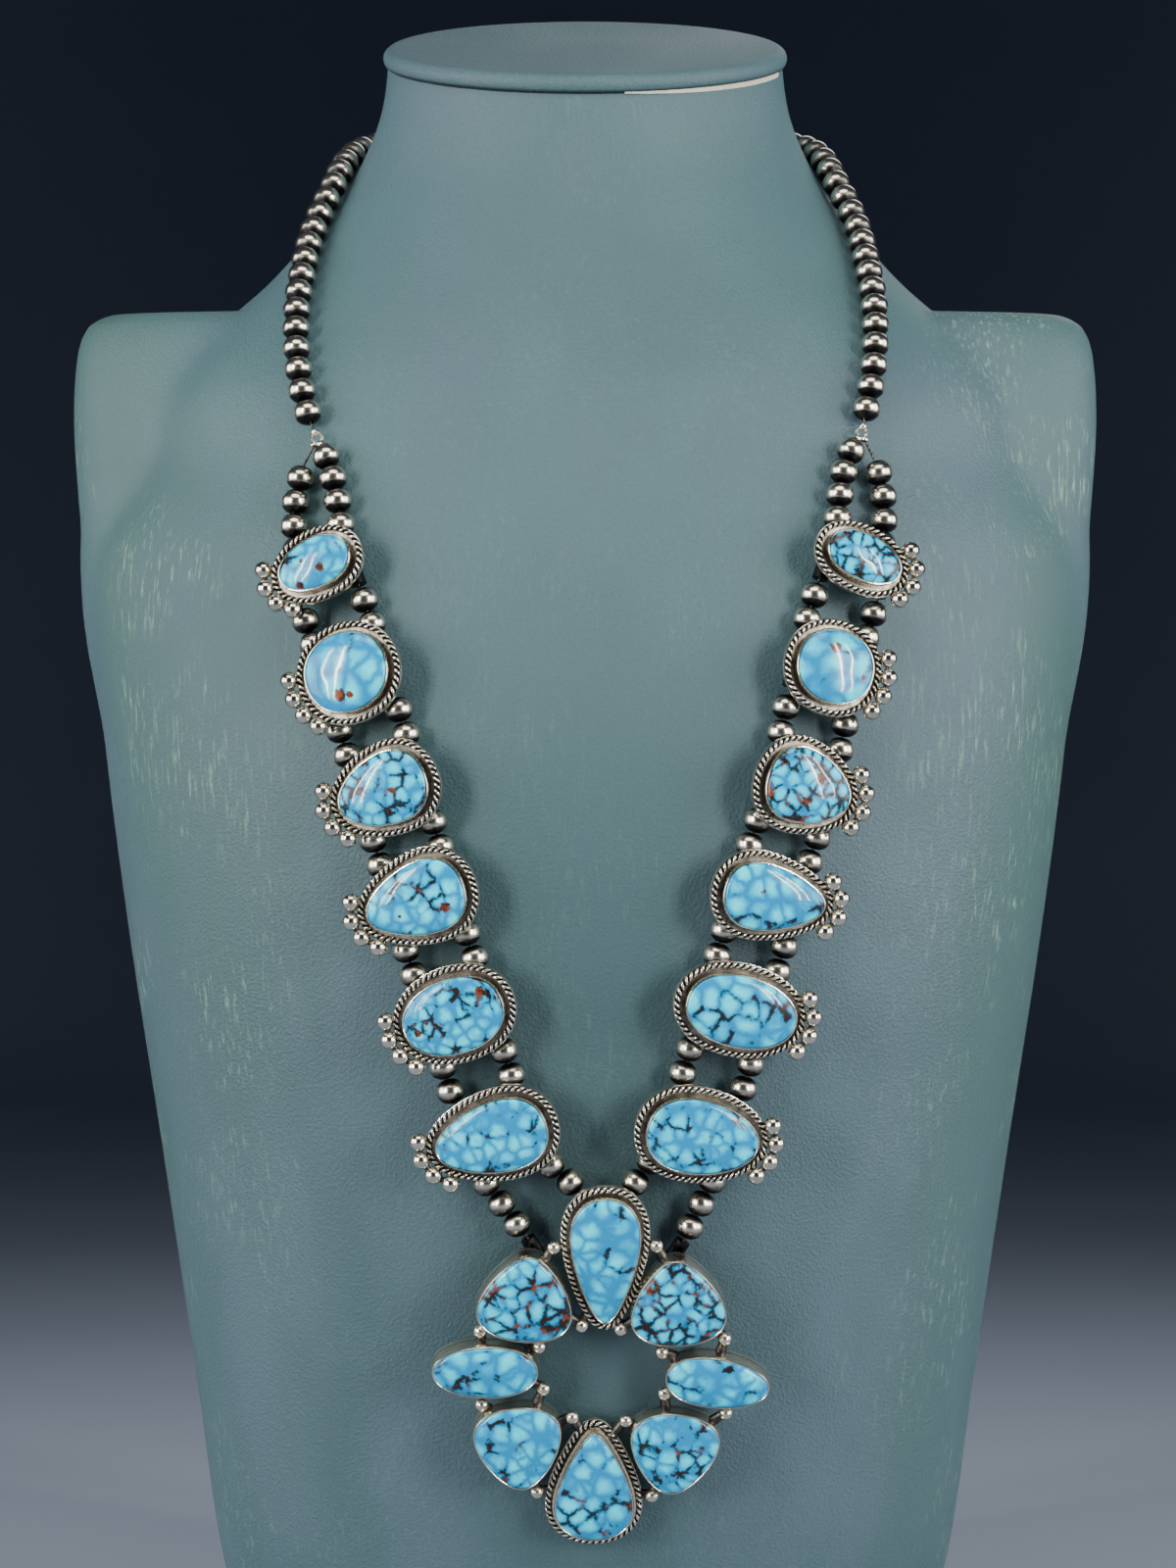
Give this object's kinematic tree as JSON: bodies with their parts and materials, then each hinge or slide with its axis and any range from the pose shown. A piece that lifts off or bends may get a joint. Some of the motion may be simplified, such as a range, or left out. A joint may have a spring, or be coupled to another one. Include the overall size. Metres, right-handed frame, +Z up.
{
  "type": "squash blossom necklace on a neck bust",
  "caption": "Squash blossom necklace of round silver beads, turquoise stations in rope-edged settings and a stone-set naja pendant, worn on a plain display bust.",
  "frame": {"origin": "centre of the bust's flat base", "axes": "+Z up, +X to the viewer's right, +Y from the chest to the back"},
  "size_m": [0.2696, 0.1448, 0.4357],
  "materials": {
    "leatherette": "matte blue-grey leatherette with a fine grain and pale rubbed streaks",
    "silver": "polished silver with dark oxidised recesses",
    "bead_silver": "satin silver beads, darkened round their holes",
    "turquoise": "polished sky-blue turquoise with a dark spiderweb matrix",
    "thread": "thin dark foxtail chain"
  },
  "bodies": {
    "root": {"neck_bust": "leatherette", "bust_cap": "leatherette", "clasp": "silver", "naja": "silver", "naja_stone_1": "turquoise", "naja_stone_2": "turquoise", "naja_stone_3": "turquoise", "naja_stone_4": "turquoise", "naja_stone_5": "turquoise", "naja_stone_6": "turquoise", "naja_stone_7": "turquoise", "naja_stone_8": "turquoise", "left_setting_1": "silver", "left_setting_2": "silver", "left_setting_3": "silver", "left_setting_4": "silver", "left_setting_5": "silver", "left_setting_6": "silver", "right_setting_1": "silver", "right_setting_2": "silver", "right_setting_3": "silver", "right_setting_4": "silver", "right_setting_5": "silver", "right_setting_6": "silver", "left_stone_1": "turquoise", "left_stone_2": "turquoise", "left_stone_3": "turquoise", "left_stone_4": "turquoise", "left_stone_5": "turquoise", "left_stone_6": "turquoise", "right_stone_1": "turquoise", "right_stone_2": "turquoise", "right_stone_3": "turquoise", "right_stone_4": "turquoise", "right_stone_5": "turquoise", "right_stone_6": "turquoise", "left_fork_ring": "silver", "left_neck_beads": "bead_silver", "left_neck_thread": "thread", "right_fork_ring": "silver", "right_neck_beads": "bead_silver", "right_neck_thread": "thread", "left_inner_beads": "bead_silver", "left_inner_thread": "thread", "left_outer_beads": "bead_silver", "left_outer_thread": "thread", "right_inner_beads": "bead_silver", "right_inner_thread": "thread", "right_outer_beads": "bead_silver", "right_outer_thread": "thread"}
  },
  "joints": []
}
